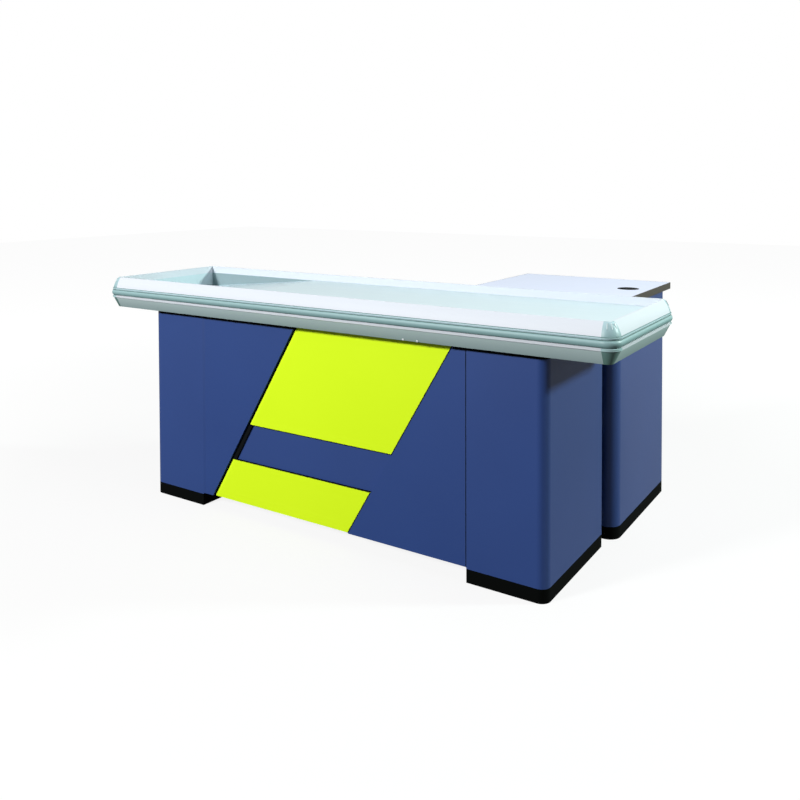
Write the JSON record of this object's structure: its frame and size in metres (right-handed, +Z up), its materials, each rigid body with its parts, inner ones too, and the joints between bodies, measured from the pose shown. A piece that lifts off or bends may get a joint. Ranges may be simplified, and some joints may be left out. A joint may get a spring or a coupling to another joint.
{
  "type": "checkout counter",
  "caption": "Checkout counter: a rail-edged tray top with a sloping well on two pedestals joined by a panelled apron, and a side desk with a drawer and a door.",
  "frame": {"origin": "bottom centre of the whole object, on the floor", "axes": "+X along the counter, +Y from the customer's side to the cashier's side, +Z up"},
  "size_m": [2.144, 1.177, 0.865],
  "materials": {
    "blue_steel": "satin blue powder coat",
    "blue_board": "satin blue lacquered fibreboard",
    "lime_board": "satin lime lacquered fibreboard",
    "black_board": "matt black laminated board",
    "grey_board": "pale grey melamine board",
    "plain_board": "raw particle board",
    "frame_steel": "dark grey paint",
    "zinc_steel": "zinc plated",
    "white_aluminium": "white powder coat",
    "bumper_plastic": "grey-green soft plastic",
    "corner_plastic": "grey-green moulded plastic",
    "tray_steel": "pale cool white satin coat",
    "desk_laminate": "pale lavender-white laminate",
    "edge_plastic": "dark brown edge band",
    "dark_plastic": "dark moulded plastic",
    "birch": "clear lacquered birch plywood",
    "chromed": "bright chrome plate"
  },
  "bodies": {
    "counter": {"apron_back": "blue_steel", "apron_brackets": "zinc_steel", "apron_panel_left": "blue_board", "apron_panel_right": "blue_board", "beam_front": "frame_steel", "beam_rear": "frame_steel", "bearers": "frame_steel", "bumper_front": "bumper_plastic", "bumper_left": "bumper_plastic", "bumper_rear": "bumper_plastic", "bumper_right": "bumper_plastic", "corner_front_left": "corner_plastic", "corner_front_right": "corner_plastic", "corner_rear_left": "corner_plastic", "corner_rear_right": "corner_plastic", "deck_board": "plain_board", "deck_plate": "tray_steel", "desk_cross_rail": "blue_steel", "desk_edge_band": "edge_plastic", "desk_top": "desk_laminate", "end_members": "frame_steel", "floor_desk": "grey_board", "floor_left": "grey_board", "floor_right": "grey_board", "grommet_sleeve": "dark_plastic", "hinge_leaves_fixed": "zinc_steel", "hinge_pins": "zinc_steel", "lime_panel_lower": "lime_board", "lime_panel_upper": "lime_board", "link_bolts": "zinc_steel", "link_brackets": "zinc_steel", "plinth_desk": "black_board", "plinth_left": "black_board", "plinth_right": "black_board", "rail_front": "white_aluminium", "rail_left": "white_aluminium", "rail_rear": "white_aluminium", "rail_right": "white_aluminium", "runners_cabinet": "zinc_steel", "shelf_desk": "grey_board", "shelf_left": "grey_board", "shelf_rails_desk": "zinc_steel", "shelf_rails_left": "zinc_steel", "shelf_rails_right": "zinc_steel", "shelf_right": "grey_board", "shell_desk": "blue_steel", "shell_left": "blue_steel", "shell_right": "blue_steel", "well_pan": "tray_steel"},
    "drawer": {"drawer_front": "blue_board", "drawer_box": "birch", "drawer_handle": "chromed", "runners_drawer": "zinc_steel"},
    "door": {"door_panel": "blue_board", "door_handle": "chromed", "hinge_leaves_moving": "zinc_steel"},
    "drawer_lock": {"drawer_lock": "chromed"},
    "door_lock": {"door_lock": "chromed"},
    "grommet_cap": {"grommet_cap": "dark_plastic"}
  },
  "joints": [
    {"name": "drawer_slide", "type": "slide", "parent": "counter", "child": "drawer", "axis": [-1, 0, 0], "range_m": [0, 0.35]},
    {"name": "door_hinge", "type": "hinge", "parent": "counter", "child": "door", "pos_m": [0.3085, 0.5785, 0.047], "axis": [0, 0, -1], "range_deg": [0, 110]},
    {"name": "drawer_lock_turn", "type": "hinge", "parent": "drawer", "child": "drawer_lock", "pos_m": [0.29, 0.291, 0.703], "axis": [-1, 0, 0], "range_deg": [0, 90]},
    {"name": "door_lock_turn", "type": "hinge", "parent": "door", "child": "door_lock", "pos_m": [0.29, 0.0695, 0.656], "axis": [1, 0, 0], "range_deg": [0, 90]},
    {"name": "grommet_turn", "type": "hinge", "parent": "counter", "child": "grommet_cap", "pos_m": [0.816, 0.3055, 0.848], "axis": [0, 0, 1], "continuous": true}
  ]
}
